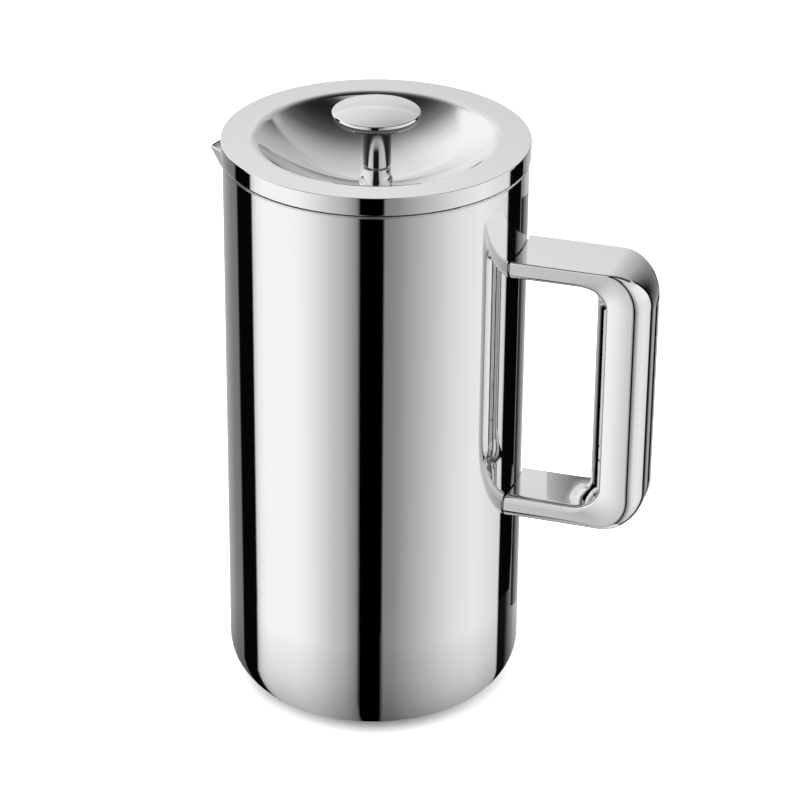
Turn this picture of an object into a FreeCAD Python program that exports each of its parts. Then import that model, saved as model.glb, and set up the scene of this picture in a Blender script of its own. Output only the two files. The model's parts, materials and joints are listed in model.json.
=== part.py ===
"""Double-walled steel french press: vessel with spout and loop handle, turning lid, and plunger with filter pack.

Millimetres. +Z is up, the vessel's axis is Z, the handle points along +X and the spout along -X.
The origin is the centre of the flat face that the press stands on. The plunger is pressed fully down.
"""

import FreeCAD
import Part

import math
import os

Vec = FreeCAD.Vector
ORIGIN = Vec(0, 0, 0)
UP = Vec(0, 0, 1)

# Vessel
BODY_R = 51.0
BORE_R = 46.2
WALL = 0.7
RIM_Z = 196.9
SHELL_BOTTOM_Z = 0.5
BODY_CORNER_R = 14.7
LINER_FLOOR_Z = 8.0
LINER_CORNER_R = 10.0
BASE_OPENING_R = 38.0
BASE_PLATE_Z = 1.8

# Spout
SPOUT_TIP_R = 58.9
SPOUT_TIP_Z = 192.4
SPOUT_FOOT_Z = 177.9
SPOUT_HALF_WIDTH = 14.9
THROAT_HALF_WIDTH = 13.4
THROAT_FOOT_Z = 178.9
SPOUT_WALL = 0.8
SPOUT_RIDGE_R = 2.0

# Handle
HANDLE_WIDTH = 24.4
HANDLE_TOP_Z = 170.0
HANDLE_BOTTOM_Z = 74.5
HANDLE_OUTER_X = 97.15
HANDLE_CORNER_R = 13.4
RIDGE_HALF_WIDTH = 5.5
GRIP_DEPTH = 19.6
TOP_ARM_DEPTH = 6.3
BOTTOM_ARM_DEPTH = 7.8
FINGER_CORNER_R = 7.5
HANDLE_WALL = 1.2
HANDLE_GAP = 0.45
SPIGOT_LENGTH = 13.0
SPIGOT_CLEARANCE = 0.12
SCREW_R = 1.5
SCREW_X = 58.0

# Lid
LID_R = 51.5
LID_TOP_Z = 203.5
LID_BAND_Z = 197.45
LID_SHEET = 1.0
DISH_FLOOR_Z = 188.0
DISH_MOUTH_R = 40.3
DISH_LIP_R = 4.0
COLLAR_BORE_R = 4.0
COLLAR_SHANK_R = 4.95
COLLAR_HOLE_R = 5.05
COLLAR_TOP_Z = 193.05
SKIRT_R = 44.4
SKIRT_SHEET = 0.8
SKIRT_BOTTOM_Z = 172.0
SEAT_GAP = 0.3
SEAL_BOTTOM_Z = 173.6
SEAL_HEIGHT = 3.8
SEAL_CLEARANCE = 0.3
STRAINER_SLOTS = 9
STRAINER_PITCH_DEG = 3.6
STRAINER_SLOT_WIDTH = 1.5
STRAINER_BOTTOM_Z = 181.0
STRAINER_TOP_Z = 191.5
UNDERPLATE_EDGE_Z = 194.6
UNDERPLATE_FLOOR_Z = 184.2
UNDERPLATE_SHEET = 0.8

# Rod guide
ROD_R = 2.5
BUSH_R = 3.92
BUSH_BORE_R = 2.56
BUSH_RIB_R = 4.3
BUSH_RIB_Z = 184.0
BUSH_RIB_HEIGHT = 1.0

# Plunger
STEM_R = 5.05
STEM_BOTTOM_Z = 193.6
STEM_TOP_Z = 209.3
KNOB_R = 14.75
KNOB_EDGE_Z = 212.5
KNOB_TOP_Z = 214.6
ROD_END_Z = 23.8
PACK_Z = 28.0
CROSS_PLATE_R = 43.0
CROSS_PLATE_SHEET = 1.0
MESH_R = 45.9
MESH_SHEET = 0.3
MESH_HEIGHT = 4.8
SPRING_PLATE_R = 42.0
SPRING_PLATE_SHEET = 0.8
SPRING_RING_R = 43.95
SPRING_COIL_R = 1.6


# ---------------------------------------------------------------- shared geometry


def wire_of(points):
    """A closed wire in the XZ plane through (x, z) points; a third value in a point rounds that corner."""
    corners = [Vec(p[0], 0, p[1]) for p in points]
    radii = [p[2] if len(p) > 2 else 0.0 for p in points]
    count = len(corners)
    ends = []
    for i, corner in enumerate(corners):
        back = (corners[i - 1] - corner).normalize()
        ahead = (corners[(i + 1) % count] - corner).normalize()
        if radii[i] == 0.0:
            ends.append((corner, None, corner))
            continue
        half = back.getAngle(ahead) / 2
        reach = radii[i] / math.tan(half)
        inward = (back + ahead).normalize()
        middle = corner + inward * (radii[i] / math.sin(half) - radii[i])
        ends.append((corner + back * reach, middle, corner + ahead * reach))
    edges = []
    for i, (start, middle, end) in enumerate(ends):
        if middle is not None:
            edges.append(Part.Arc(start, middle, end).toShape())
        following = ends[(i + 1) % count][0]
        if end.distanceToPoint(following) > 1e-6:
            edges.append(Part.LineSegment(end, following).toShape())
    return Part.Wire(edges)


def turned(points):
    """The solid that the closed (radius, z) outline sweeps about Z."""
    return Part.Face(wire_of(points)).revolve(ORIGIN, UP, 360)


def arc_between(centre, start, end):
    """The shorter arc about centre from start to end, all (x, z)."""
    middle_ray = Vec(start[0] + end[0] - 2 * centre[0], 0, start[1] + end[1] - 2 * centre[1]).normalize()
    radius = math.hypot(start[0] - centre[0], start[1] - centre[1])
    middle = Vec(centre[0], 0, centre[1]) + middle_ray * radius
    return Part.Arc(Vec(start[0], 0, start[1]), middle, Vec(end[0], 0, end[1])).toShape()


def line_between(start, end):
    return Part.LineSegment(Vec(start[0], 0, start[1]), Vec(end[0], 0, end[1])).toShape()


def cylinder(radius, bottom, top, x=0.0, y=0.0):
    return Part.makeCylinder(radius, top - bottom, Vec(x, y, bottom), UP)


def turned_copies(shape, count, step_deg=None, first_deg=0.0):
    """Copies of a shape turned about Z: evenly round the circle, or step_deg apart."""
    step = 360.0 / count if step_deg is None else step_deg
    copies = []
    for i in range(count):
        copy = shape.copy()
        copy.rotate(ORIGIN, UP, first_deg + i * step)
        copies.append(copy)
    return copies


def hexagon(across_flats, bottom, top):
    radius = across_flats / math.sqrt(3)
    corners = [
        Vec(radius * math.cos(math.radians(60 * i)), radius * math.sin(math.radians(60 * i)), bottom)
        for i in range(7)
    ]
    return Part.Face(Part.makePolygon(corners)).extrude(Vec(0, 0, top - bottom))


def wedge(points):
    """A convex solid from two polygons of equal count, joined corner to corner."""
    first, second = points
    count = len(first)
    faces = [Part.Face(Part.makePolygon(p + p[:1])) for p in (first, second)]
    for i in range(count):
        j = (i + 1) % count
        loop = [first[i], first[j], second[j], second[i]]
        distinct = [p for k, p in enumerate(loop) if p.distanceToPoint(loop[k - 1]) > 1e-6]
        faces.append(Part.Face(Part.makePolygon(distinct + distinct[:1])))
    return Part.Solid(Part.Shell(faces))


# ---------------------------------------------------------------- vessel


def throat_prism(inset):
    """The V-shaped channel through both walls behind the spout, as a bar along X; inset narrows it."""
    slope = THROAT_HALF_WIDTH / (RIM_Z - THROAT_FOOT_Z)
    foot = THROAT_FOOT_Z + inset / math.sin(math.atan(slope))
    top = RIM_Z + 6.0
    half = slope * (top - foot)
    corners = [Vec(-BORE_R + 4.0, 0, foot), Vec(-BORE_R + 4.0, half, top), Vec(-BORE_R + 4.0, -half, top)]
    return Part.Face(Part.makePolygon(corners + corners[:1])).extrude(Vec(-12.0, 0, 0))


def outer_shell():
    inner = BODY_R - WALL
    bottom = SHELL_BOTTOM_Z
    shell = turned([
        (BODY_R, RIM_Z - WALL),
        (inner, RIM_Z - WALL),
        (inner, bottom + WALL, BODY_CORNER_R - WALL),
        (BASE_OPENING_R + WALL, bottom + WALL),
        (BASE_OPENING_R + WALL, BASE_PLATE_Z + WALL),
        (BASE_OPENING_R, BASE_PLATE_Z + WALL),
        (BASE_OPENING_R, bottom, 0.3),
        (BODY_R, bottom, BODY_CORNER_R),
    ])
    return shell.cut(throat_prism(0.0))


def inner_liner():
    liner = turned([
        (0, LINER_FLOOR_Z),
        (BORE_R, LINER_FLOOR_Z, LINER_CORNER_R),
        (BORE_R, RIM_Z, 0.5),
        (BODY_R, RIM_Z, 0.35),
        (BODY_R, RIM_Z - WALL),
        (BORE_R + WALL, RIM_Z - WALL),
        (BORE_R + WALL, LINER_FLOOR_Z - WALL, LINER_CORNER_R + WALL),
        (0, LINER_FLOOR_Z - WALL),
    ])
    return liner.cut(throat_prism(0.0))


def beak_wedge(inset):
    """The V-shaped beak, closed above; inset moves both of its faces inwards."""
    run = SPOUT_TIP_R - BODY_R
    rise = SPOUT_TIP_Z - SPOUT_FOOT_Z
    root_x = math.sqrt(BODY_R ** 2 - SPOUT_HALF_WIDTH ** 2)
    along_ridge = Vec(-run, 0, rise)
    to_root = Vec(-root_x + BODY_R, SPOUT_HALF_WIDTH, RIM_Z - SPOUT_FOOT_Z)
    normal = along_ridge.cross(to_root).normalize()
    shift = inset / math.hypot(normal.x, normal.z)
    inwards = Vec(-normal.x, 0, -normal.z).normalize() * shift
    if inwards.x < 0:
        inwards = inwards * -1
    foot = Vec(-BODY_R, 0, SPOUT_FOOT_Z) + inwards
    low = foot - along_ridge * 0.5
    high = foot + along_ridge * 1.6
    spread = to_root * 1.25
    side = [low + Vec(spread.x, s * spread.y, spread.z) for s in (1, -1)]
    end = [high + Vec(spread.x, s * spread.y, spread.z) for s in (1, -1)]
    beak = wedge(([low] + side, [high] + end))
    ridge = [e for e in beak.Edges if all(abs(v.Y) < 1e-6 for v in e.Vertexes)]
    return beak.makeFillet(max(SPOUT_RIDGE_R - inset, 0.6), ridge)


def spout():
    body = cylinder(BODY_R, 120, 230)
    root_x = math.sqrt(BODY_R ** 2 - SPOUT_HALF_WIDTH ** 2)
    fall = (RIM_Z - SPOUT_TIP_Z) / (SPOUT_TIP_R - root_x)
    above = Part.Face(Part.makePolygon([
        Vec(-20, -40, RIM_Z),
        Vec(-root_x, -40, RIM_Z),
        Vec(-80, -40, RIM_Z - fall * (80 - root_x)),
        Vec(-80, -40, 260),
        Vec(-20, -40, 260),
        Vec(-20, -40, RIM_Z),
    ])).extrude(Vec(0, 80, 0))
    beak = beak_wedge(0.0).cut(body)
    beak_hollow = beak_wedge(SPOUT_WALL).cut(body)
    throat = throat_prism(0.0).common(body).cut(cylinder(BORE_R, 120, 230))
    hollow = beak_hollow.fuse(throat_prism(SPOUT_WALL).common(body))
    return beak.fuse(throat).cut(hollow).cut(above).removeSplitter()


def base_plate():
    top = BASE_PLATE_Z + WALL
    plate = cylinder(BASE_OPENING_R - 0.02, BASE_PLATE_Z, top)
    return plate.cut(cylinder(2.0, BASE_PLATE_Z - 1, top + 1))


def vacuum_plug():
    """The brazed plug that closes the evacuation port of the double wall."""
    return turned([
        (0, BASE_PLATE_Z + 0.1),
        (1.95, BASE_PLATE_Z + 0.1),
        (1.95, BASE_PLATE_Z + WALL),
        (3.4, BASE_PLATE_Z + WALL),
        (3.4, BASE_PLATE_Z + WALL + 0.9, 0.5),
        (0, BASE_PLATE_Z + WALL + 0.9),
    ])


def base_pad():
    return turned([
        (0, 0),
        (BASE_OPENING_R - 0.4, 0, 0.4),
        (BASE_OPENING_R - 0.4, BASE_PLATE_Z),
        (0, BASE_PLATE_Z),
    ])


# ---------------------------------------------------------------- handle


def handle_stations():
    """Cross-sections from the top arm's root round to the bottom arm's root.

    They come in five runs: arm, corner, grip, corner, arm. Each section is (outer point, inner point, shape),
    the points in (x, z) and the shape as handle_section() takes it.
    """
    root_x = BODY_R - 6.0
    top_inner = HANDLE_TOP_Z - TOP_ARM_DEPTH
    bottom_inner = HANDLE_BOTTOM_Z + BOTTOM_ARM_DEPTH
    grip_outer, grip_inner = (0.8, 10.8, 3.0), (1.5, 2.0, 17.0, 42.0, 30.0)
    top_outer, top_under = (0.03, 0.8, 0.8), (2.4, 0.2, 0.5, 0.6, 0.3)
    bottom_outer, bottom_over = (0.03, 2.6, 2.6), (2.8, 0.2, 0.5, 0.6, 0.3)
    pivot_x = HANDLE_OUTER_X - GRIP_DEPTH - FINGER_CORNER_R
    bend_x = HANDLE_OUTER_X - HANDLE_CORNER_R

    def blend(first, second, share):
        return tuple(a + (b - a) * share for a, b in zip(first, second))

    def corner(side, arm_outer, arm_inner, outer_shape, inner_shape):
        """Sections that fan about the finger corner, side +1 at the top arm and -1 at the bottom arm."""
        pivot_z = arm_inner - side * FINGER_CORNER_R
        bend_z = arm_outer - side * HANDLE_CORNER_R
        run = []
        for i in range(19):
            angle = math.radians(5.0 * i)
            ray = Vec(math.sin(angle), 0, side * math.cos(angle))
            pivot = Vec(pivot_x, 0, pivot_z)
            offset = Vec(pivot_x - bend_x, 0, pivot_z - bend_z)
            along = offset.dot(ray)
            reach = -along + math.sqrt(max(along ** 2 - offset.dot(offset) + HANDLE_CORNER_R ** 2, 0.0))
            flat = abs(arm_outer - pivot_z) / max(math.cos(angle), 1e-9)
            upright = (HANDLE_OUTER_X - pivot_x) / max(math.sin(angle), 1e-9)
            if pivot_x + flat * ray.x < bend_x:
                reach = flat
            if side * (pivot_z + upright * ray.z) < side * bend_z:
                reach = upright
            outer = pivot + ray * reach
            inner = pivot + ray * FINGER_CORNER_R
            late = min(max((5.0 * i - 38.0) / 52.0, 0.0), 1.0)
            shape = blend(outer_shape, grip_outer, late * late * (3 - 2 * late))
            shape += blend(inner_shape, grip_inner, math.sin(angle) ** 2)
            run.append(((outer.x, outer.z), (inner.x, inner.z), shape))
        return run

    top_root = ((root_x, HANDLE_TOP_Z), (root_x, top_inner), top_outer + top_under)
    bottom_root = ((root_x, HANDLE_BOTTOM_Z), (root_x, bottom_inner), bottom_outer + bottom_over)
    top = corner(1, HANDLE_TOP_Z, top_inner, top_outer, top_under)
    bottom = corner(-1, HANDLE_BOTTOM_Z, bottom_inner, bottom_outer, bottom_over)[::-1]
    return [[top_root, top[0]], top, [top[-1], bottom[0]], bottom, [bottom[-1], bottom_root]]


def bowed(start, end, centre_side, turn_deg):
    """An arc from start to end that turns by the given angle and bulges away from centre_side."""
    chord = end - start
    away = (start + end) * 0.5 - centre_side
    away = (away - chord * (away.dot(chord) / chord.dot(chord))).normalize()
    middle = (start + end) * 0.5 + away * (chord.Length / 2 * math.tan(math.radians(turn_deg) / 4))
    return Part.Arc(start, middle, end).toShape()


def handle_section(station, inset):
    """A rounded outline across the handle, drawn inset from its surface.

    The shape is (outer crown, outer face's edge radius, side's outer edge radius, inner edge radius, and four
    slopes in degrees: the side's at its outer and inner ends, the inner flank's at its edge and at its ridge).
    """
    (outer_x, outer_z), (inner_x, inner_z), shape = station
    crown, face_edge, side_edge, inner_edge, side_out, side_in, flank_out, flank_in = shape
    outer = Vec(outer_x, 0, outer_z)
    inner = Vec(inner_x, 0, inner_z)
    depth_axis = (outer - inner).normalize()
    half = HANDLE_WIDTH / 2
    crown_r = (half ** 2 + crown ** 2) / (2 * crown) - inset
    half -= inset
    depth = (outer - inner).Length - 2 * inset
    face_edge = max(face_edge - inset, 0.3)
    side_edge = max(side_edge - inset, 0.3)
    inner_edge = max(inner_edge - inset, 0.3)
    base = inner + depth_axis * inset

    def heading(degrees):
        """The outward direction at this angle from the depth axis, as (across, height)."""
        return Vec(math.sin(math.radians(degrees)), math.cos(math.radians(degrees)), 0)

    step = math.sqrt(0.5) * (side_edge - face_edge)
    face_across = half - side_edge + step
    face_height = depth - crown_r + math.sqrt((crown_r - face_edge) ** 2 - face_across ** 2)
    lean = math.degrees(math.atan2(face_across, face_height - depth + crown_r))
    face_centre = Vec(face_across, face_height, 0)
    side_centre = Vec(half - side_edge, face_height - step, 0)
    crown_end = face_centre + heading(lean) * face_edge
    edge_middle = side_centre + heading(45) * side_edge
    side_start = side_centre + heading(90 + side_out) * side_edge

    ridge_r = RIDGE_HALF_WIDTH / math.sin(math.radians(flank_in)) - inset
    ridge_end = Vec(0, ridge_r, 0) + heading(180 - flank_in) * ridge_r
    slope = math.tan(math.radians(flank_in + flank_out) / 2)
    side_turn = math.radians(side_out + side_in) / 2
    edge_run = (heading(180 - flank_out) - heading(90 + side_in)) * inner_edge
    short = side_start + edge_run - ridge_end
    length = (short.y - short.x * slope) / (math.cos(side_turn) - slope * math.sin(side_turn))
    side_end = side_start - Vec(math.sin(side_turn), math.cos(side_turn), 0) * length
    flank_start = side_end + edge_run

    corners = [crown_end, edge_middle, side_start, side_end, flank_start, ridge_end]
    turns = [45 - lean, 45 + side_out, side_in - side_out, 90 - side_in - flank_out, flank_out - flank_in]
    middle = base + depth_axis * (depth / 2)
    right, left = [[base + depth_axis * c.y + Vec(0, side * c.x, 0) for c in corners] for side in (1, -1)]
    edges = [Part.Arc(left[0], base + depth_axis * depth, right[0]).toShape()]
    edges += [bowed(right[i], right[i + 1], middle, turns[i]) for i in range(5)]
    edges.append(Part.Arc(right[-1], base, left[-1]).toShape())
    edges += [bowed(left[i + 1], left[i], middle, turns[i]) for i in reversed(range(5))]
    return Part.Wire(edges)


def handle_body(inset):
    runs = []
    for stations in handle_stations():
        sections = [handle_section(station, inset) for station in stations]
        runs.append(Part.makeLoft(sections, True, len(sections) == 2))
    return runs[0].multiFuse(runs[1:])


def screw_bore(radius):
    """The two set screws' bores, up into each arm from below."""
    top = cylinder(radius, HANDLE_TOP_Z - TOP_ARM_DEPTH - 1, HANDLE_TOP_Z - 2.2, SCREW_X)
    bottom = cylinder(radius, HANDLE_BOTTOM_Z - 1, HANDLE_BOTTOM_Z + 4.2, SCREW_X)
    return top.fuse(bottom)


def handle():
    loop = handle_body(0.0).cut(handle_body(HANDLE_WALL))
    return loop.cut(cylinder(BODY_R + HANDLE_GAP, 0, 230)).cut(screw_bore(SCREW_R))


def spigots():
    """The two blocks welded to the shell that the handle's arms slide over, upper then lower."""
    inset = HANDLE_WALL + SPIGOT_CLEARANCE
    arms = handle_stations()
    blocks = []
    for first, second in (arms[0], arms[-1][::-1]):
        block = Part.makeLoft([handle_section(first, inset), handle_section(second, inset)], True, True)
        reach = Part.makeBox(SPIGOT_LENGTH + 6.0, 60, 60, Vec(BODY_R - 6.0, -30, first[0][1] - 30))
        block = block.common(reach).cut(cylinder(BODY_R, 0, 230)).cut(screw_bore(SCREW_R))
        blocks.append(block)
    return blocks


def set_screws():
    screws = []
    for bottom in (HANDLE_TOP_Z - TOP_ARM_DEPTH, HANDLE_BOTTOM_Z):
        screw = cylinder(SCREW_R - 0.02, bottom + 0.25, bottom + 3.4)
        socket = hexagon(1.5, bottom, bottom + 1.5)
        screw = screw.cut(socket)
        screw.translate(Vec(SCREW_X, 0, 0))
        screws.append(screw)
    return Part.makeCompound(screws)


# ---------------------------------------------------------------- lid


def bowl_circle():
    """Centre height and radius of the dish's circle, from its floor and its mouth."""
    depth = LID_TOP_Z - DISH_FLOOR_Z
    radius = (DISH_MOUTH_R ** 2 + depth ** 2) / (2 * depth)
    return DISH_FLOOR_Z + radius, radius


def lid_cover():
    centre_z, bowl_r = bowl_circle()
    lip_z = LID_TOP_Z - DISH_LIP_R
    lip_x = math.sqrt((bowl_r + DISH_LIP_R) ** 2 - (centre_z - lip_z) ** 2)

    def half_outline(offset):
        """The rounded lip and dish, offset below the top surface, from the flat rim in to the hole."""
        flat = (lip_x, LID_TOP_Z - offset)
        share = (bowl_r + offset) / (bowl_r + DISH_LIP_R)
        tangent = (lip_x * share, centre_z + (lip_z - centre_z) * share)
        hole_z = centre_z - math.sqrt((bowl_r + offset) ** 2 - COLLAR_HOLE_R ** 2)
        return flat, tangent, (COLLAR_HOLE_R, hole_z)

    top_flat, top_tangent, top_hole = half_outline(0.0)
    low_flat, low_tangent, low_hole = half_outline(LID_SHEET)
    band = 0.35
    inner_r = LID_R - LID_SHEET
    low_z = LID_TOP_Z - LID_SHEET
    edges = [
        line_between((LID_R, LID_BAND_Z + band), (LID_R, LID_TOP_Z - band)),
        arc_between((LID_R - band, LID_TOP_Z - band), (LID_R, LID_TOP_Z - band), (LID_R - band, LID_TOP_Z)),
        line_between((LID_R - band, LID_TOP_Z), top_flat),
        arc_between((lip_x, lip_z), top_flat, top_tangent),
        arc_between((0, centre_z), top_tangent, top_hole),
        line_between(top_hole, low_hole),
        arc_between((0, centre_z), low_hole, low_tangent),
        arc_between((lip_x, lip_z), low_tangent, low_flat),
        line_between(low_flat, (inner_r, low_z)),
        line_between((inner_r, low_z), (inner_r, LID_BAND_Z)),
        line_between((inner_r, LID_BAND_Z), (LID_R - band, LID_BAND_Z)),
        arc_between((LID_R - band, LID_BAND_Z + band), (LID_R - band, LID_BAND_Z), (LID_R, LID_BAND_Z + band)),
    ]
    return Part.Face(Part.Wire(edges)).revolve(ORIGIN, UP, 360)


def lid_skirt():
    """The flanged ring that plugs into the vessel, with two ribs that hold the seal and a slotted strainer."""
    inner = SKIRT_R - SKIRT_SHEET
    seat = RIM_Z + SEAT_GAP
    rib_r = SKIRT_R + 0.9
    rib_low = SEAL_BOTTOM_Z - SEAL_CLEARANCE
    rib_high = SEAL_BOTTOM_Z + SEAL_HEIGHT + SEAL_CLEARANCE
    ring = turned([
        (inner, SKIRT_BOTTOM_Z),
        (SKIRT_R, SKIRT_BOTTOM_Z),
        (SKIRT_R, rib_low - 0.8),
        (rib_r, rib_low - 0.8, 0.25),
        (rib_r, rib_low, 0.25),
        (SKIRT_R, rib_low),
        (SKIRT_R, rib_high),
        (rib_r, rib_high, 0.25),
        (rib_r, rib_high + 0.8, 0.25),
        (SKIRT_R, rib_high + 0.8),
        (SKIRT_R, seat, 0.6),
        (LID_R - LID_SHEET - 0.05, seat),
        (LID_R - LID_SHEET - 0.05, seat + SKIRT_SHEET),
        (inner, seat + SKIRT_SHEET, 1.4),
    ])
    width = STRAINER_SLOT_WIDTH
    height = STRAINER_TOP_Z - STRAINER_BOTTOM_Z
    slot = Part.makeBox(6.0, width, height, Vec(-SKIRT_R - 3.0, -width / 2, STRAINER_BOTTOM_Z))
    slot = slot.makeFillet(width * 0.49, [e for e in slot.Edges if abs(e.tangentAt(0).x) > 0.9])
    first = -STRAINER_PITCH_DEG * (STRAINER_SLOTS - 1) / 2
    return ring.cut(turned_copies(slot, STRAINER_SLOTS, STRAINER_PITCH_DEG, first))


def lid_underplate():
    """The shallow dish that closes the lid from below."""
    edge_r = SKIRT_R - SKIRT_SHEET - 0.03
    depth = UNDERPLATE_EDGE_Z - UNDERPLATE_FLOOR_Z
    radius = (edge_r ** 2 + depth ** 2) / (2 * depth)
    centre_z = UNDERPLATE_FLOOR_Z + radius

    def height(r, offset):
        return centre_z - math.sqrt((radius + offset) ** 2 - r ** 2)

    top_in = (COLLAR_HOLE_R, height(COLLAR_HOLE_R, 0))
    top_out = (edge_r, height(edge_r, 0))
    low_in = (COLLAR_HOLE_R, height(COLLAR_HOLE_R, UNDERPLATE_SHEET))
    low_out = (edge_r, height(edge_r, UNDERPLATE_SHEET))
    edges = [
        arc_between((0, centre_z), top_in, top_out),
        line_between(top_out, low_out),
        arc_between((0, centre_z), low_out, low_in),
        line_between(low_in, top_in),
    ]
    return Part.Face(Part.Wire(edges)).revolve(ORIGIN, UP, 360)


def lid_collar():
    """The flared collar in the middle of the dish, whose hollow shank goes down through the lid."""
    foot_z = bowl_circle()[0] - math.sqrt(bowl_circle()[1] ** 2 - 5.6 ** 2)
    groove_low = BUSH_RIB_Z - 0.2
    groove_high = BUSH_RIB_Z + BUSH_RIB_HEIGHT + 0.2
    groove_r = BUSH_RIB_R + 0.15
    return turned([
        (COLLAR_BORE_R, 178.6),
        (COLLAR_SHANK_R, 178.6, 0.4),
        (COLLAR_SHANK_R, foot_z),
        (5.6, foot_z),
        (5.6, foot_z + 0.3, 0.15),
        (5.0, foot_z + 2.0, 3.0),
        (5.0, COLLAR_TOP_Z, 0.4),
        (COLLAR_BORE_R, COLLAR_TOP_Z),
        (COLLAR_BORE_R, groove_high),
        (groove_r, groove_high),
        (groove_r, groove_low),
        (COLLAR_BORE_R, groove_low),
    ])


def lid_washer():
    return turned([(5.1, 182.45), (9.0, 182.45, 0.2), (9.0, 183.3, 0.2), (5.1, 183.3)])


def lid_nut():
    nut = hexagon(14.0, 179.0, 182.4)
    chamfered = turned([(0, 179.0), (7.2, 179.0), (8.3, 179.8), (8.3, 181.6), (7.2, 182.4), (0, 182.4)])
    return nut.common(chamfered).cut(cylinder(5.0, 170, 190))


def lid_seal():
    """The silicone ring between the skirt's ribs, with two lips towards the vessel's wall."""
    inner = SKIRT_R + SEAL_CLEARANCE
    lip = BORE_R - 0.3
    low = SEAL_BOTTOM_Z
    top = SEAL_BOTTOM_Z + SEAL_HEIGHT
    return turned([
        (inner, low),
        (inner + 0.6, low, 0.2),
        (lip, low + 0.75, 0.12),
        (lip, low + 1.05, 0.12),
        (inner + 0.55, low + 1.6, 0.1),
        (inner + 0.55, top - 1.6, 0.1),
        (lip, top - 1.05, 0.12),
        (lip, top - 0.75, 0.12),
        (inner + 0.6, top, 0.2),
        (inner, top),
    ])


def rod_bush():
    """The snap-in plastic bush that guides the rod and turns with it in the collar."""
    return turned([
        (BUSH_BORE_R, 179.6),
        (BUSH_R, 179.6, 0.3),
        (BUSH_R, BUSH_RIB_Z),
        (BUSH_RIB_R, BUSH_RIB_Z),
        (BUSH_RIB_R, BUSH_RIB_Z + BUSH_RIB_HEIGHT, 0.3),
        (BUSH_R, BUSH_RIB_Z + BUSH_RIB_HEIGHT),
        (BUSH_R, COLLAR_TOP_Z - 0.15, 0.3),
        (BUSH_BORE_R, COLLAR_TOP_Z - 0.15),
    ])


# ---------------------------------------------------------------- plunger


def knob_cap():
    """The lens-shaped push disc, bored from below for the stem's spigot."""
    dome_rise = KNOB_TOP_Z - KNOB_EDGE_Z
    crease_r = KNOB_R - 0.15
    dome_r = (crease_r ** 2 + dome_rise ** 2) / (2 * dome_rise)
    edges = [
        line_between((0, 211.6), (3.5, 211.6)),
        line_between((3.5, 211.6), (3.5, STEM_TOP_Z)),
        line_between((3.5, STEM_TOP_Z), (5.6, STEM_TOP_Z)),
        Part.Arc(Vec(5.6, 0, STEM_TOP_Z), Vec(10.2, 0, 209.42), Vec(14.1, 0, 209.8)).toShape(),
        Part.Arc(Vec(14.1, 0, 209.8), Vec(KNOB_R, 0, 211.1), Vec(crease_r, 0, KNOB_EDGE_Z)).toShape(),
        arc_between((0, KNOB_TOP_Z - dome_r), (crease_r, KNOB_EDGE_Z), (0, KNOB_TOP_Z)),
        line_between((0, KNOB_TOP_Z), (0, 211.6)),
    ]
    cap = Part.Face(Part.Wire(edges)).revolve(ORIGIN, UP, 360)
    crease = [e for e in cap.Edges if all(abs(v.Z - KNOB_EDGE_Z) < 1e-6 for v in e.Vertexes)]
    return cap.makeFillet(0.6, crease)


def knob_stem():
    return turned([
        (ROD_R + 0.02, STEM_BOTTOM_Z),
        (STEM_R, STEM_BOTTOM_Z, 0.45),
        (STEM_R, STEM_TOP_Z),
        (3.48, STEM_TOP_Z),
        (3.48, 211.5, 0.3),
        (0, 211.5),
        (0, 206.6),
        (ROD_R + 0.02, 206.6),
    ])


def plunger_rod():
    return turned([
        (0, ROD_END_Z),
        (ROD_R, ROD_END_Z, 0.5),
        (ROD_R, 206.5, 0.4),
        (0, 206.5),
    ])


def rod_ferrule():
    """The stop on the rod that the filter pack is clamped up against."""
    seat = PACK_Z + CROSS_PLATE_SHEET + MESH_SHEET + SPRING_PLATE_SHEET
    return turned([
        (ROD_R + 0.02, seat),
        (7.5, seat, 0.3),
        (7.5, seat + 1.6, 0.4),
        (4.6, seat + 3.2, 1.6),
        (4.2, seat + 8.5, 0.5),
        (ROD_R + 0.02, seat + 8.5),
    ])


def round_holes(rings, bottom, top):
    """Holes for a perforated plate; each ring is (radius of the ring, hole radius, count, first angle)."""
    holes = []
    for ring_r, hole_r, count, first in rings:
        holes += turned_copies(cylinder(hole_r, bottom, top, ring_r), count, None, first)
    return holes


def cross_plate():
    """The perforated plate under the mesh, with a turned-down edge."""
    low = PACK_Z
    top = PACK_Z + CROSS_PLATE_SHEET
    plate = turned([
        (ROD_R + 0.05, low),
        (CROSS_PLATE_R - 1.0, low, 0.3),
        (CROSS_PLATE_R - 1.0, low - 1.4, 0.2),
        (CROSS_PLATE_R, low - 1.4, 0.3),
        (CROSS_PLATE_R, top, 0.9),
        (ROD_R + 0.05, top),
    ])
    return plate.cut(round_holes([(14.5, 3.6, 8, 0), (25.0, 4.2, 12, 15), (35.3, 4.0, 18, 0)], low - 2, top + 2))


def mesh_screen():
    """The envelope of the woven mesh disc, whose edge turns up round the spring."""
    low = PACK_Z + CROSS_PLATE_SHEET
    return turned([
        (ROD_R + 0.05, low),
        (MESH_R, low, 0.8),
        (MESH_R, low + MESH_HEIGHT),
        (MESH_R - MESH_SHEET, low + MESH_HEIGHT),
        (MESH_R - MESH_SHEET, low + MESH_SHEET, 0.5),
        (ROD_R + 0.05, low + MESH_SHEET),
    ])


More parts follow.
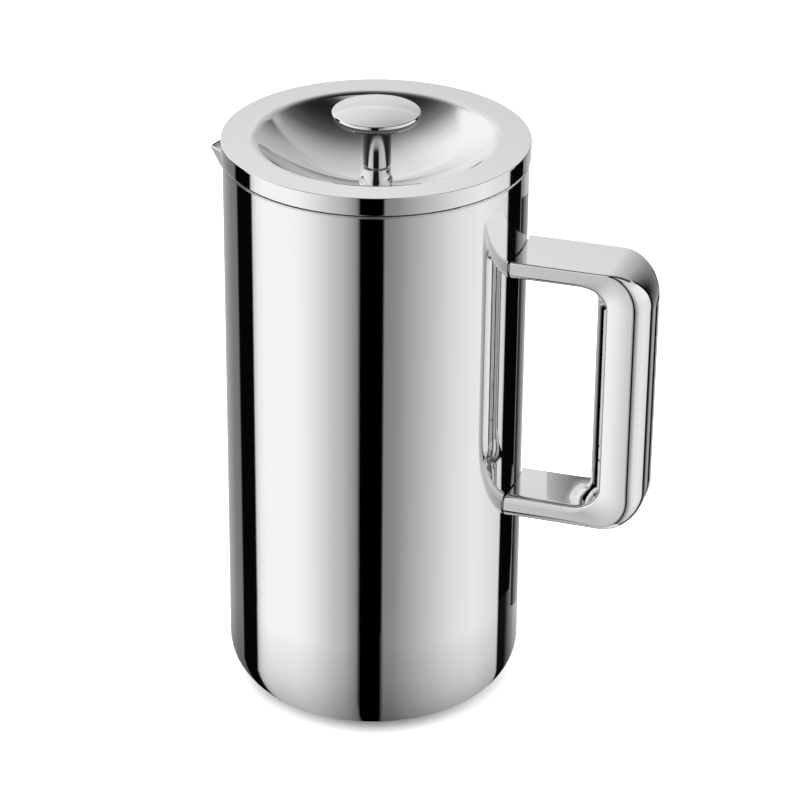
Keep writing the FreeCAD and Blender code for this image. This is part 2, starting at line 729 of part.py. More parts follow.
def spring_plate():
    """The perforated plate above the mesh, with the turned-up edge that carries the coil spring."""
    low = PACK_Z + CROSS_PLATE_SHEET + MESH_SHEET
    top = low + SPRING_PLATE_SHEET
    plate = turned([
        (ROD_R + 0.05, low),
        (SPRING_PLATE_R, low, 0.7),
        (SPRING_PLATE_R, low + 4.2, 0.15),
        (SPRING_PLATE_R - 0.7, low + 4.2, 0.15),
        (SPRING_PLATE_R - 0.7, top, 0.5),
        (ROD_R + 0.05, top),
    ])
    return plate.cut(round_holes([(15.0, 4.4, 6, 0), (29.5, 5.4, 12, 15)], low - 2, top + 2))


def edge_spring():
    """The solid envelope of the close-wound spring that lies round the plate's edge."""
    height = PACK_Z + CROSS_PLATE_SHEET + MESH_SHEET + SPRING_COIL_R + 0.35
    return Part.makeTorus(SPRING_RING_R, SPRING_COIL_R, Vec(0, 0, height), UP)


def hub_nut():
    """The nut under the cross plate, on the rod's threaded end."""
    low = PACK_Z - 3.4
    nut = hexagon(13.0, low, PACK_Z)
    chamfered = turned([(0, low), (6.4, low), (7.6, low + 0.9), (7.6, PACK_Z), (0, PACK_Z)])
    return nut.common(chamfered).cut(cylinder(ROD_R + 0.02, low - 1, PACK_Z + 1))


def main():
    os.makedirs("parts", exist_ok=True)
    upper_spigot, lower_spigot = spigots()
    parts = {
        "outer_shell": outer_shell(),
        "inner_liner": inner_liner(),
        "spout": spout(),
        "base_plate": base_plate(),
        "vacuum_plug": vacuum_plug(),
        "base_pad": base_pad(),
        "handle": handle(),
        "upper_handle_spigot": upper_spigot,
        "lower_handle_spigot": lower_spigot,
        "handle_set_screws": set_screws(),
        "lid_cover": lid_cover(),
        "lid_skirt": lid_skirt(),
        "lid_underplate": lid_underplate(),
        "lid_collar": lid_collar(),
        "lid_washer": lid_washer(),
        "lid_nut": lid_nut(),
        "lid_seal": lid_seal(),
        "rod_bush": rod_bush(),
        "knob_cap": knob_cap(),
        "knob_stem": knob_stem(),
        "plunger_rod": plunger_rod(),
        "rod_ferrule": rod_ferrule(),
        "cross_plate": cross_plate(),
        "mesh_screen": mesh_screen(),
        "spring_plate": spring_plate(),
        "edge_spring": edge_spring(),
        "hub_nut": hub_nut(),
    }
    for name, shape in parts.items():
        shape.exportStep(os.path.join("parts", name + ".step"))
        print(name, shape.isValid(), len(shape.Solids), round(shape.Volume, 1))


main()
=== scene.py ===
"""Looks of the steel french press: studio, materials and the filter's fine wirework around the CAD frame.

Metres, in the row frame: +Z up the vessel's axis, the handle along +X, the spout along -X.
"""

import json
import math

import bpy
import numpy as np
from mathutils import Matrix, Vector


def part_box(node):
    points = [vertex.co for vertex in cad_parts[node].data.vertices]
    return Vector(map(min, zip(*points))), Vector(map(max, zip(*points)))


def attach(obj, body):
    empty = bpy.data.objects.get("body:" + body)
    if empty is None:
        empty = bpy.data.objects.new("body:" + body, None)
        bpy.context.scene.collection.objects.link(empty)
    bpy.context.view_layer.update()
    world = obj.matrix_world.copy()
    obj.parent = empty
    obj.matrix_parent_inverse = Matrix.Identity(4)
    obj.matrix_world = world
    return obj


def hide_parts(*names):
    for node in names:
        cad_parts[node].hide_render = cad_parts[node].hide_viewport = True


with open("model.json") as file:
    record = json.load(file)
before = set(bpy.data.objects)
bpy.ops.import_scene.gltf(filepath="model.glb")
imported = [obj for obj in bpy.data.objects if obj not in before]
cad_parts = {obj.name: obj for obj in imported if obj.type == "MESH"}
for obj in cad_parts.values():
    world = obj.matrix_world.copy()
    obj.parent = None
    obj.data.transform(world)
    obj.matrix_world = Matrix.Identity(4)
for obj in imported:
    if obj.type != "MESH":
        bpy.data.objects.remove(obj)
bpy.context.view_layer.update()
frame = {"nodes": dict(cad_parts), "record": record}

MM = 0.001

# Camera, seen from in front and to the handle's side of the spout
CAMERA_PLACE = (0.2971, -0.9481, 0.6170)
CAMERA_AZIMUTH = math.radians(16.9)
CAMERA_PITCH = math.radians(27.24)
CAMERA_ROLL = math.radians(0.52)
CAMERA_LENS_MM = 146.05
CAMERA_SENSOR_MM = 36.0

# Studio. Azimuths are measured from the camera's side, towards the picture's right, in degrees.
STUDIO_AZIMUTH = math.radians(17.4)
FLOOR_SIZE = 12.0
FLOOR_ALBEDO = 0.88
OVERHEAD_STRENGTH = 6.5
OVERHEAD_SPREAD = math.radians(150.0)
BACKDROP_LEVEL = 1.1
STUDIO_STRENGTH = 1.15
# Where one part of the studio gives way to the next, in degrees
HORIZON = (-12.0, 0.0)
WALL_TOP = (28.0, 32.0)
BACK_WALL_SIDE = (150.0, 168.0)
FLOOR_FALL = (-85.0, -34.0)
FLOOR_FALL_SHARE = 0.42
# Height of the glowing sheet that paints the reflection and shade seen in the foot
GLOW_SHEET_Z = 0.5 * MM
# Upright cards, as (across, towards the camera, display level) at each edge
BLACK_CARD = ((0.117, -0.011, 0.02), (0.179, -0.139, 0.02))
GREY_CARD = ((0.083, -0.026, 0.06), (0.0757, -0.0318, 0.34), (0.0628, -0.0432, 0.70))
CARD_HEIGHTS = (-0.060, 0.165)

# Display levels that the steel mirrors, as (azimuth, level): the walls below and above the horizon,
# and the ceiling. A repeated azimuth is a card's sharp edge.
LOWER_WALLS = (
    (-180, 0.84), (-160, 0.64), (-140, 0.48), (-128, 0.44), (-128, 0.02), (-106, 0.02), (-106, 0.80),
    (-100, 0.92), (-93, 0.96), (-65, 0.96), (-56, 0.93), (-47, 0.88), (-39, 0.82), (-31, 0.75),
    (-23, 0.69), (-12.5, 0.51), (-12.5, 0.0), (6.3, 0.0), (6.3, 0.50), (16, 0.54), (24, 0.62),
    (40, 0.73), (57, 0.83), (66, 0.87), (86, 0.91), (117, 0.84), (117, 0.06), (130, 0.08), (136, 0.36),
    (148, 0.62), (165, 0.78), (180, 0.84))
UPPER_WALLS = (
    (-180, 0.85), (-168, 0.86), (-155, 0.93), (-145, 0.96), (-128, 0.95), (-128, 0.03), (-106, 0.03),
    (-106, 0.94), (-90, 0.96), (-60, 0.93), (-40, 0.85), (-20, 0.74), (-12.5, 0.55), (-12.5, 0.02),
    (6.3, 0.02), (6.3, 0.55), (25, 0.74), (50, 0.85), (75, 0.93), (117, 0.93), (117, 0.03), (131, 0.03),
    (138, 0.45), (150, 0.66), (168, 0.76), (174, 0.81), (180, 0.85))
CEILING = (
    (-180, 0.84), (-171, 0.86), (-163, 0.88), (-155, 0.93), (-145, 0.96), (-90, 0.95), (-50, 0.92),
    (-25, 0.76), (0, 0.66), (25, 0.70), (50, 0.82), (90, 0.86), (125, 0.68), (140, 0.71), (165, 0.76),
    (174, 0.80), (180, 0.84))
# Share of the back wall's level against elevation in degrees
BACK_WALL_SPAN = (0.0, 40.0)
BACK_WALL = ((0, 1.0), (14, 1.0), (19, 0.98), (21.7, 0.98), (23.5, 1.03), (25, 1.04), (29, 1.02), (34, 1.0))
# Share of the ceiling's level across the dark gap between its two softboxes, from the back to the front.
# Places on the ceiling are distances from overhead, for a ceiling one unit up.
CEILING_GAP = (
    (-1.5, 1.0), (-1.1, 0.97), (-0.95, 0.93), (-0.78, 0.88), (-0.58, 0.74), (-0.38, 0.50), (-0.18, 0.31),
    (-0.05, 0.19), (0.08, 0.15), (0.14, 0.30), (0.22, 0.92), (0.7, 1.0))
GAP_SPAN = (-2.0, 1.0)
GAP_SLANT = 0.18
GAP_CENTRE = 0.12
GAP_ENDS = (0.90, 1.08)
# The flag over the camera: where it starts, its side edges in degrees and its share of the light
FLAG_START = (0.27, 0.42)
FLAG_SIDE = (26.0, 21.0)
FLAG_SHARE = 0.02

# Painted shade in the foot's reflection: share of the walls' level that the glowing sheet under the foot
# shows, darker towards the bottom where the floor's shadow near the vessel is painted in, as (height in mm,
# slope in degrees, share). None stands for a height on the rounded corner, which follows from the slope.
PAINTED_SHADE_SHARES = (
    (42.0, 0, 1.0), (37.0, 0, 1.0), (30.0, 0, 0.955), (22.0, 0, 0.913), (15.2, 0, 0.845),
    (None, 6, 0.825), (None, 12, 0.80), (None, 20, 0.77), (None, 30, 0.74), (None, 38, 0.705),
    (None, 46, 0.67), (None, 54, 0.63), (None, 62, 0.60), (None, 70, 0.56))
FOOT_CORNER_R = 14.7
GLOW_STEP = 0.75
GLOW_COLUMNS = 144
# How much further round the glow on the picture's left is looked up, at the slope in degrees
GLOW_STRETCH = 0.2
GLOW_STRETCH_SLOPE = 60.0
# Display level at which the shares are taken
SHARE_LEVEL = 0.9

# Steel
STEEL_TINT = (0.86, 0.86, 0.855, 1.0)
SATIN_TINT = (0.70, 0.70, 0.69, 1.0)

# Wirework of the filter
WEAVE_PITCH = 0.8 * MM
WEAVE_WIRE = 0.16 * MM
COIL_WIRE = 0.42 * MM
COIL_PITCH = 0.62 * MM
COIL_STEPS = 10


# ---------------------------------------------------------------- node helpers


class Nodes:
    """A short way to write a node tree: add gives the new node, and the other calls give its first output."""

    def __init__(self, tree):
        self.tree = tree
        tree.nodes.clear()

    def add(self, kind, inputs=None, **settings):
        node = self.tree.nodes.new(kind)
        for name, value in settings.items():
            setattr(node, name, value)
        for key, value in (inputs or {}).items():
            socket = node.inputs[key]
            if isinstance(value, bpy.types.NodeSocket):
                self.tree.links.new(value, socket)
            else:
                socket.default_value = value
        return node

    def math(self, operation, *values):
        inputs = dict(enumerate(values))
        return self.add("ShaderNodeMath", inputs, operation=operation).outputs[0]

    def remap(self, value, low, high, to_low=0.0, to_high=1.0, smooth=False):
        inputs = {"Value": value, "From Min": low, "From Max": high, "To Min": to_low, "To Max": to_high}
        kind = "SMOOTHSTEP" if smooth else "LINEAR"
        return self.add("ShaderNodeMapRange", inputs, interpolation_type=kind).outputs[0]

    def mix(self, factor, first, second):
        """Blend of two numbers."""
        inputs = {0: factor, 2: first, 3: second}
        return self.add("ShaderNodeMix", inputs, data_type="FLOAT").outputs[0]

    def ramp(self, value, stops):
        """A number looked up between (position, level) stops."""
        node = self.add("ShaderNodeValToRGB", {0: value})
        elements = node.color_ramp.elements
        while len(elements) > 1:
            elements.remove(elements[-1])
        for i, (position, level) in enumerate(stops):
            element = elements[0] if i == 0 else elements.new(position)
            element.position = position
            element.color = (level, level, level, 1.0)
        return node.outputs[0]

    def noise(self, vector, scale, detail=2.0, roughness=0.5):
        inputs = {"Vector": vector, "Scale": scale, "Detail": detail, "Roughness": roughness}
        return self.add("ShaderNodeTexNoise", inputs).outputs[0]


def linear(display):
    """Scene-linear level of a display level."""
    return ((display + 0.055) / 1.055) ** 2.4 if display > 0.04 else display / 12.92


# ---------------------------------------------------------------- studio


def around(stops, softness=0.7):
    """Ramp stops round the horizon from (azimuth, display level) pairs; a sharp edge becomes a short step."""
    out = []
    for i, (azimuth, level) in enumerate(stops):
        edge = 0.0
        if i and stops[i - 1][0] == azimuth:
            edge = softness
        elif i + 1 < len(stops) and stops[i + 1][0] == azimuth:
            edge = -softness
        out.append(((azimuth + edge + 180.0) / 360.0, linear(level)))
    return out


def shares(stops, start, end, level=SHARE_LEVEL):
    """Ramp stops from (place, share of a display level), as shares of the scene-linear level."""
    span = end - start
    return [((place - start) / span, linear(level * share) / linear(level)) for place, share in stops]


def studio_world():
    """Softboxes and black flags round the object, as the mirror steel sees them; the camera sees white."""
    world = bpy.data.worlds.new("studio")
    world.use_nodes = True
    bpy.context.scene.world = world
    n = Nodes(world.node_tree)
    direction = n.add("ShaderNodeTexCoord").outputs["Generated"]
    turn_back = {"Vector": direction, "Axis": (0, 0, 1), "Angle": -STUDIO_AZIMUTH}
    turned = n.add("ShaderNodeVectorRotate", turn_back, rotation_type="AXIS_ANGLE").outputs[0]
    split = n.add("ShaderNodeSeparateXYZ", {0: turned}).outputs
    towards = n.math("MULTIPLY", split["Y"], -1.0)
    azimuth = n.math("ARCTAN2", split["X"], towards)
    turn = n.remap(azimuth, -math.pi, math.pi)
    elevation = n.math("MULTIPLY", n.math("ARCSINE", split["Z"]), 180.0 / math.pi)

    low = n.ramp(turn, around(LOWER_WALLS))
    high = n.ramp(turn, around(UPPER_WALLS))
    sides = n.mix(n.remap(elevation, *HORIZON, smooth=True), low, high)

    rise = n.math("MAXIMUM", split["Z"], 0.02)
    forward = n.math("DIVIDE", towards, rise)
    sideways = n.math("DIVIDE", split["X"], rise)
    slanted = n.math("MULTIPLY_ADD", sideways, GAP_SLANT, forward)
    strip = n.ramp(n.remap(slanted, *GAP_SPAN), shares(CEILING_GAP, *GAP_SPAN))
    from_centre = n.math("ABSOLUTE", n.math("SUBTRACT", sideways, GAP_CENTRE))
    strip = n.mix(n.remap(from_centre, *GAP_ENDS, smooth=True), strip, 1.0)
    roof = n.math("MULTIPLY", n.ramp(turn, around(CEILING)), strip)
    off_axis = n.math("ABSOLUTE", azimuth)
    flag_width = n.remap(off_axis, *map(math.radians, FLAG_SIDE), smooth=True)
    flag = n.math("MULTIPLY", n.remap(forward, *FLAG_START, smooth=True), flag_width)
    roof = n.math("MULTIPLY", roof, n.mix(flag, 1.0, FLAG_SHARE))
    behind = n.remap(off_axis, *map(math.radians, BACK_WALL_SIDE), smooth=True)
    lift = n.ramp(n.remap(elevation, *BACK_WALL_SPAN), shares(BACK_WALL, *BACK_WALL_SPAN, 0.85))
    sides = n.math("MULTIPLY", sides, n.mix(behind, 1.0, lift))
    walls = n.mix(n.remap(elevation, *WALL_TOP, smooth=True), sides, roof)
    floor_fall = n.remap(elevation, *FLOOR_FALL, FLOOR_FALL_SHARE, 1.0)
    seen = n.math("MULTIPLY", walls, floor_fall)
    lit = n.add("ShaderNodeBackground", {"Color": seen, "Strength": STUDIO_STRENGTH}).outputs[0]
    white = n.add("ShaderNodeBackground", {"Color": (1, 1, 1, 1), "Strength": BACKDROP_LEVEL}).outputs[0]
    camera_ray = n.add("ShaderNodeLightPath").outputs["Is Camera Ray"]
    both = n.add("ShaderNodeMixShader", {0: camera_ray, 1: lit, 2: white}).outputs[0]
    n.add("ShaderNodeOutputWorld", {"Surface": both})


def floor():
    """A wide pale sheet that the press stands on. Mirror steel sees the studio's own floor level instead."""
    mesh = bpy.data.meshes.new("floor")
    half = FLOOR_SIZE / 2
    corners = [(-half, -half, 0), (half, -half, 0), (half, half, 0), (-half, half, 0)]
    mesh.from_pydata(corners, [], [(0, 1, 2, 3)])
    sheet = bpy.data.objects.new("floor", mesh)
    bpy.context.scene.collection.objects.link(sheet)
    material = bpy.data.materials.new("paper")
    material.use_nodes = True
    n = Nodes(material.node_tree)
    place = n.add("ShaderNodeTexCoord").outputs["Object"]
    grain = n.noise(place, 900.0, 3.0)
    bump = n.add("ShaderNodeBump", {"Height": grain, "Strength": 0.05, "Distance": 0.0002}).outputs[0]
    white = (FLOOR_ALBEDO, FLOOR_ALBEDO, FLOOR_ALBEDO, 1.0)
    matt = n.add("ShaderNodeBsdfDiffuse", {"Color": white, "Normal": bump}).outputs[0]
    n.add("ShaderNodeOutputMaterial", {"Surface": matt})
    mesh.materials.append(material)
    sheet.visible_glossy = False


def mirror_only(name, points, faces, levels):
    """A studio surface that only the steel's reflections show, glowing with the level given at each point."""
    material, n = start_material(name)
    level = n.add("ShaderNodeAttribute", attribute_name="level").outputs["Color"]
    glow = n.add("ShaderNodeEmission", {"Color": level, "Strength": STUDIO_STRENGTH}).outputs[0]
    n.add("ShaderNodeOutputMaterial", {"Surface": glow})
    mesh = bpy.data.meshes.new(name)
    mesh.from_pydata(points, [], faces)
    mesh.materials.append(material)
    colours = mesh.color_attributes.new("level", "FLOAT_COLOR", "POINT")
    colours.data.foreach_set("color", np.repeat(levels, 4).astype(np.float32))
    sheet = bpy.data.objects.new(name, mesh)
    bpy.context.scene.collection.objects.link(sheet)
    sheet.visible_camera = False
    sheet.visible_diffuse = False
    sheet.visible_transmission = False
    sheet.visible_shadow = False


def studio_axes():
    """Unit vectors on the floor towards the camera's side of the studio and to its right."""
    right = Vector((math.cos(STUDIO_AZIMUTH), math.sin(STUDIO_AZIMUTH), 0))
    towards = Vector((math.sin(STUDIO_AZIMUTH), -math.cos(STUDIO_AZIMUTH), 0))
    return right, towards


def side_card(name, edges):
    """An upright card that stands behind the handle's side and darkens that edge of the vessel."""
    right, towards = studio_axes()
    points, levels, faces = [], [], []
    for column, (across, ahead, level) in enumerate(edges):
        points += [right * across + towards * ahead + Vector((0, 0, z)) for z in CARD_HEIGHTS]
        levels += [linear(level)] * 2
        if column:
            faces.append((2 * column - 2, 2 * column, 2 * column + 1, 2 * column - 1))
    mirror_only(name, points, faces, levels)


def painted_foot_reflection():
    """A glowing sheet round the foot, seen only in the steel, that paints the rounded bottom's reflection so
    it goes on with the walls' reflections, with painted shade of the floor's shadow towards the bottom.

    Each point is where the sight line from CAMERA_PLACE meets the sheet after one reflection in the foot.
    """
    right, towards = studio_axes()
    eye = Vector(CAMERA_PLACE)
    shell_low, shell_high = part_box("outer_shell")
    corner_r = shell_high.y / MM - FOOT_CORNER_R
    corner_z = shell_low.z / MM + FOOT_CORNER_R
    azimuths = [GLOW_STEP * step for step in range(-GLOW_COLUMNS, GLOW_COLUMNS + 1)]
    tones = around(LOWER_WALLS)
    places, levels = [t[0] for t in tones], [t[1] for t in tones]
    points, glows, faces = [], [], []
    # Painted reflection of the walls in the foot, with painted shade of the floor's shadow towards the bottom
    for row, (height, slope, share) in enumerate(PAINTED_SHADE_SHARES):
        down = math.radians(slope)
        radius = (corner_r + FOOT_CORNER_R * math.cos(down)) * MM
        z = (corner_z - FOOT_CORNER_R * math.sin(down) if height is None else height) * MM
        for column, azimuth in enumerate(azimuths):
            out = right * math.sin(math.radians(azimuth)) + towards * math.cos(math.radians(azimuth))
            normal = out * math.cos(down) - Vector((0, 0, math.sin(down)))
            place = out * radius + Vector((0, 0, z))
            sight = (place - eye).normalized()
            ray = sight - 2 * min(sight.dot(normal), 0.0) * normal
            points.append(place + ray * ((GLOW_SHEET_Z - z) / ray.z))
            from_wall = sight - 2 * min(sight.dot(out), 0.0) * out
            seen = math.degrees(math.atan2(from_wall.dot(right), from_wall.dot(towards)))
            stretch = 1.0 + (GLOW_STRETCH * slope / GLOW_STRETCH_SLOPE if azimuth < 0 else 0.0)
            level = np.interp((seen * stretch + 180.0) / 360.0, places, levels)
            glows.append(level * linear(SHARE_LEVEL * share) / linear(SHARE_LEVEL))
            if row and column:
                corner_index = row * len(azimuths) + column
                behind = corner_index - len(azimuths)
                faces.append((corner_index, corner_index - 1, behind - 1, behind))
    mirror_only("painted_foot_reflection", points, faces, glows)


def overhead_light():
    """A broad light from above for the floor, its contact shadow and the matt pieces."""
    light = bpy.data.lights.new("overhead", "SUN")
    light.energy = OVERHEAD_STRENGTH
    light.angle = OVERHEAD_SPREAD
    lamp = bpy.data.objects.new("overhead", light)
    lamp.visible_glossy = False
    bpy.context.scene.collection.objects.link(lamp)


def camera():
    data = bpy.data.cameras.new("camera")
    data.lens = CAMERA_LENS_MM
    data.sensor_width = CAMERA_SENSOR_MM
    data.clip_start = 0.05
    data.clip_end = 50.0
    eye = bpy.data.objects.new("camera", data)
    level = math.cos(CAMERA_PITCH)
    fall = -math.sin(CAMERA_PITCH)
    ahead = Vector((-math.sin(CAMERA_AZIMUTH) * level, math.cos(CAMERA_AZIMUTH) * level, fall))
    right = ahead.cross(Vector((0, 0, 1))).normalized()
    up = right.cross(ahead)
    tilt = Matrix.Rotation(CAMERA_ROLL, 3, -ahead)
    right, up = tilt @ right, tilt @ up
    turn = Matrix((right, up, -ahead)).transposed()
    eye.matrix_world = Matrix.Translation(CAMERA_PLACE) @ turn.to_4x4()
    bpy.context.scene.collection.objects.link(eye)
    bpy.context.scene.camera = eye


# ---------------------------------------------------------------- materials


def start_material(name):
    material = bpy.data.materials.new(name)
    material.use_nodes = True
    return material, Nodes(material.node_tree)


def finish_material(n, **sockets):
    inputs = {name.replace("_", " "): value for name, value in sockets.items()}
    shader = n.add("ShaderNodeBsdfPrincipled", inputs).outputs[0]
    n.add("ShaderNodeOutputMaterial", {"Surface": shader})


def lathe_place(n, across, along):
    """Coordinates that run fast across turning marks and slowly along them: (radius, height, angle)."""
    split = n.add("ShaderNodeSeparateXYZ", {0: n.add("ShaderNodeTexCoord").outputs["Object"]}).outputs
    flat = n.add("ShaderNodeCombineXYZ", {"X": split["X"], "Y": split["Y"]}).outputs[0]
    radius = n.add("ShaderNodeVectorMath", {0: flat}, operation="LENGTH").outputs["Value"]
    angle = n.math("ARCTAN2", split["Y"], split["X"])
    inputs = {
        "X": n.math("MULTIPLY", radius, across),
        "Y": n.math("MULTIPLY", split["Z"], across),
        "Z": n.math("MULTIPLY", angle, along),
    }
    return n.add("ShaderNodeCombineXYZ", inputs).outputs[0]


def polished_steel():
    """Mirror polish: a trace of waviness, faint haze and hairline scratches in the gloss."""
    material, n = start_material("polished_steel")
    place = n.add("ShaderNodeTexCoord").outputs["Object"]
    haze = n.remap(n.noise(place, 28.0, 3.0), 0.3, 0.7, 0.030, 0.050)
    hairlines = {"Vector": place, "Rotation": (0.3, 0.2, 0.7), "Scale": (900, 2500, 60)}
    stretched = n.add("ShaderNodeMapping", hairlines)
    scratch = n.remap(n.noise(stretched.outputs[0], 1.0, 2.0), 0.66, 0.74, 0.0, 0.035)
    gloss = n.math("ADD", haze, scratch)
    wave = n.noise(place, 55.0, 1.0)
    bump = n.add("ShaderNodeBump", {"Height": wave, "Strength": 0.12, "Distance": 0.00004}).outputs[0]
    finish_material(n, Base_Color=STEEL_TINT, Metallic=1.0, Roughness=gloss, Normal=bump)
    return material


def satin_steel():
    """Turned and brushed steel: fine marks that run round the axis."""
    material, n = start_material("satin_steel")
    marks = n.noise(lathe_place(n, 5200.0, 1.6), 1.0, 3.0, 0.65)
    clouds = n.noise(n.add("ShaderNodeTexCoord").outputs["Object"], 60.0, 2.0)
    gloss = n.math("ADD", n.remap(marks, 0.3, 0.7, 0.20, 0.34), n.remap(clouds, 0.3, 0.7, -0.02, 0.03))
    bump = n.add("ShaderNodeBump", {"Height": marks, "Strength": 0.25, "Distance": 0.00003}).outputs[0]
    finish_material(n, Base_Color=SATIN_TINT, Metallic=1.0, Roughness=gloss, Normal=bump)
    return material


def wire_steel(name, tint, gloss):
    """Drawn wire, with fine grain and a little dull film."""
    material, n = start_material(name)
    place = n.add("ShaderNodeTexCoord").outputs["Object"]
    film = n.noise(place, 220.0, 3.0)
    rough = n.remap(film, 0.3, 0.7, gloss - 0.05, gloss + 0.08)
    grain = n.noise(place, 6000.0, 1.0)
    bump = n.add("ShaderNodeBump", {"Height": grain, "Strength": 0.1, "Distance": 0.00002}).outputs[0]
    finish_material(n, Base_Color=tint, Metallic=1.0, Roughness=rough, Normal=bump)
    return material


def silicone():
    """Moulded dark silicone with a fine matt grain."""
    material, n = start_material("silicone")
    place = n.add("ShaderNodeTexCoord").outputs["Object"]
    grain = n.noise(place, 2600.0, 2.0)
    tints = {0: n.noise(place, 120.0, 2.0), 6: (0.030, 0.031, 0.034, 1), 7: (0.05, 0.05, 0.053, 1)}
    tone = n.add("ShaderNodeMix", tints, data_type="RGBA").outputs[2]
    bump = n.add("ShaderNodeBump", {"Height": grain, "Strength": 0.3, "Distance": 0.00004}).outputs[0]
    rough = n.remap(grain, 0.3, 0.7, 0.52, 0.66)
    finish_material(n, Base_Color=tone, Roughness=rough, Normal=bump, IOR=1.41)
    return material


def nylon():
    """Moulded off-white nylon."""
    material, n = start_material("nylon")
    place = n.add("ShaderNodeTexCoord").outputs["Object"]
    grain = n.noise(place, 1800.0, 2.0)
    tints = {0: n.noise(place, 200.0, 2.0), 6: (0.78, 0.76, 0.70, 1), 7: (0.84, 0.82, 0.77, 1)}
    tone = n.add("ShaderNodeMix", tints, data_type="RGBA").outputs[2]
    bump = n.add("ShaderNodeBump", {"Height": grain, "Strength": 0.15, "Distance": 0.00003}).outputs[0]
    rough = n.remap(grain, 0.3, 0.7, 0.38, 0.5)
    finish_material(n, Base_Color=tone, Roughness=rough, Normal=bump, IOR=1.53, Subsurface_Weight=0.05)
    return material


# ---------------------------------------------------------------- wirework


def tube_mesh(paths, radius, sides, closed=False):
    """Vertices and faces of tubes along equal-length point paths, given as an array (path, point, xyz)."""
    paths = np.asarray(paths)
    count, length = paths.shape[:2]
    if closed:
        ahead = np.roll(paths, -1, axis=1) - np.roll(paths, 1, axis=1)
    else:
        ahead = np.gradient(paths, axis=1)
    ahead /= np.linalg.norm(ahead, axis=2, keepdims=True)
    helper = np.zeros_like(ahead)
    helper[..., 2] = 1.0
    steep = np.abs(ahead[..., 2]) > 0.8
    helper[steep] = (1.0, 0.0, 0.0)
    side = np.cross(ahead, helper)
    side /= np.linalg.norm(side, axis=2, keepdims=True)
    lift = np.cross(side, ahead)
    angles = np.arange(sides) * 2 * math.pi / sides
    ring = side[:, :, None, :] * np.cos(angles)[:, None] + lift[:, :, None, :] * np.sin(angles)[:, None]
    points = (paths[:, :, None, :] + radius * ring).reshape(-1, 3)
    steps = length if closed else length - 1
    path, step, spoke = np.meshgrid(np.arange(count), np.arange(steps), np.arange(sides), indexing="ij")
    following = (step + 1) % length
    turn = (spoke + 1) % sides

    def index(at, around_ring):
        return (path * length + at) * sides + around_ring

    near = [index(step, spoke), index(step, turn)]
    far = [index(following, turn), index(following, spoke)]
    faces = np.stack(near + far, -1)
    return points, faces.reshape(-1, 4)


def mesh_piece(name, parts, material, body, node):
    """One smooth-shaded object from (vertices, faces) parts, standing for a CAD node."""
    points, faces, start = [], [], 0
    for part_points, part_faces in parts:
        points.append(part_points)
        faces.append(part_faces + start)
        start += len(part_points)
    points, faces = np.concatenate(points), np.concatenate(faces)
    mesh = bpy.data.meshes.new(name)
    mesh.from_pydata(points.tolist(), [], faces.tolist())
    mesh.polygons.foreach_set("use_smooth", np.ones(len(faces), bool))
    mesh.materials.append(material)
    piece = bpy.data.objects.new(name, mesh)
    bpy.context.scene.collection.objects.link(piece)
    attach(piece, body)
    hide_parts(node)
    return piece


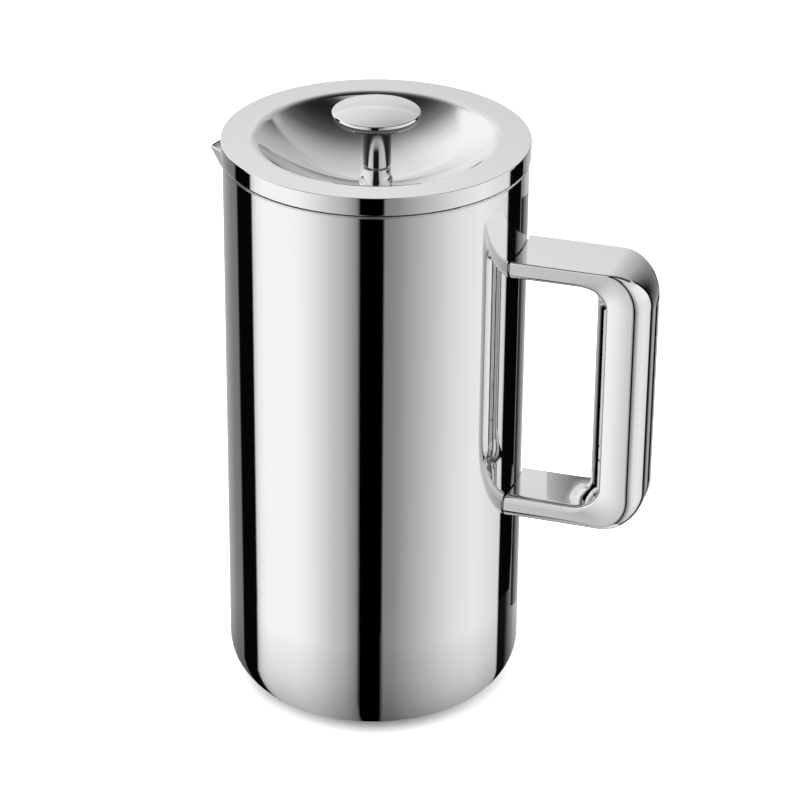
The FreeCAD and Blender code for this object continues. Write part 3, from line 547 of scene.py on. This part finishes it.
def woven_screen(material):
    """The filter's wire cloth: a flat woven disc with a woven edge turned up round the coil spring."""
    low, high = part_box("mesh_screen")
    edge_r = high.x - WEAVE_WIRE
    wire_r = WEAVE_WIRE / 2
    rise = (0.3 * MM - WEAVE_WIRE) / 2
    sheet_z = low.z + 0.15 * MM
    hole_r = 2.7 * MM
    parts = []
    count = int(edge_r / WEAVE_PITCH)
    for line in range(-count, count + 1):
        offset = line * WEAVE_PITCH
        reach = int(math.sqrt(max(edge_r ** 2 - offset ** 2, 0.0)) / WEAVE_PITCH)
        cells = np.arange(-reach, reach + 1)
        runs = [cells]
        if abs(offset) < hole_r:
            gap = math.sqrt(hole_r ** 2 - offset ** 2) / WEAVE_PITCH
            runs = [cells[cells < -gap], cells[cells > gap]]
        for run in runs:
            if len(run) < 3:
                continue
            along = run * WEAVE_PITCH
            wave = rise * np.where((run + line) % 2 == 0, 1.0, -1.0)
            across = np.full(len(run), offset)
            warp = np.stack([along, across, sheet_z + wave], -1)
            weft = np.stack([across, along, sheet_z - wave], -1)
            parts.append(tube_mesh([warp], wire_r, 4))
            parts.append(tube_mesh([weft], wire_r, 4))

    wall_r = high.x - 0.15 * MM
    posts = 2 * int(math.pi * wall_r / WEAVE_PITCH)
    angles = np.arange(posts) * 2 * math.pi / posts
    rows = int((high.z - low.z) / WEAVE_PITCH)
    heights = low.z + wire_r + np.arange(rows + 1) * (high.z - low.z - WEAVE_WIRE) / rows
    parity = np.where(np.add.outer(np.arange(posts), np.arange(rows + 1)) % 2 == 0, 1.0, -1.0)
    radii = wall_r + rise * parity
    cos, sin = np.cos(angles)[:, None], np.sin(angles)[:, None]
    upright = np.stack([radii * cos, radii * sin, np.broadcast_to(heights, radii.shape)], -1)
    parts.append(tube_mesh(upright, wire_r, 4))
    radii = wall_r - rise * parity
    hoops = np.stack([radii * cos, radii * sin, np.broadcast_to(heights, radii.shape)], -1).transpose(1, 0, 2)
    parts.append(tube_mesh(hoops, wire_r, 4, closed=True))
    return mesh_piece("woven_screen", parts, material, "plunger", "mesh_screen")


def coil_spring(material):
    """The close-wound spring bent into a ring round the upper plate."""
    low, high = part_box("edge_spring")
    coil_r = (high.z - low.z) / 2
    ring_r = high.x - coil_r
    height = (high.z + low.z) / 2
    turns = int(2 * math.pi * (ring_r - coil_r) / COIL_PITCH)
    step = np.arange(turns * COIL_STEPS)
    ring = step * 2 * math.pi / len(step)
    wind = step * 2 * math.pi / COIL_STEPS
    wire_centre = coil_r - COIL_WIRE / 2
    radius = ring_r + wire_centre * np.cos(wind)
    path = np.stack([radius * np.cos(ring), radius * np.sin(ring), height + wire_centre * np.sin(wind)], -1)
    return mesh_piece("coil_spring", [tube_mesh([path], COIL_WIRE / 2, 5, closed=True)], material,
                      "plunger", "edge_spring")


# ---------------------------------------------------------------- build


def dress_cad_nodes(finishes):
    """Gives every carried-over CAD node the finish of its material slot."""
    slots = {part["node"]: part["material_slot"] for part in frame["record"]["subparts"]}
    for name, node in frame["nodes"].items():
        node.data.materials.clear()
        node.data.materials.append(finishes[slots[name]])


def main():
    finishes = {
        "polished_steel": polished_steel(),
        "satin_steel": satin_steel(),
        "mesh_steel": wire_steel("mesh_steel", (0.62, 0.62, 0.60, 1.0), 0.28),
        "spring_steel": wire_steel("spring_steel", (0.74, 0.74, 0.73, 1.0), 0.18),
        "silicone": silicone(),
        "nylon": nylon(),
    }
    dress_cad_nodes(finishes)
    woven_screen(finishes["mesh_steel"])
    coil_spring(finishes["spring_steel"])
    studio_world()
    floor()
    side_card("black_card", BLACK_CARD)
    side_card("grey_card", GREY_CARD)
    # Glowing sheet, seen only in the steel, with the foot's painted reflection and painted shade
    painted_foot_reflection()
    overhead_light()
    camera()
    bpy.context.scene.view_settings.view_transform = "Standard"
    bpy.context.view_layer.update()


main()
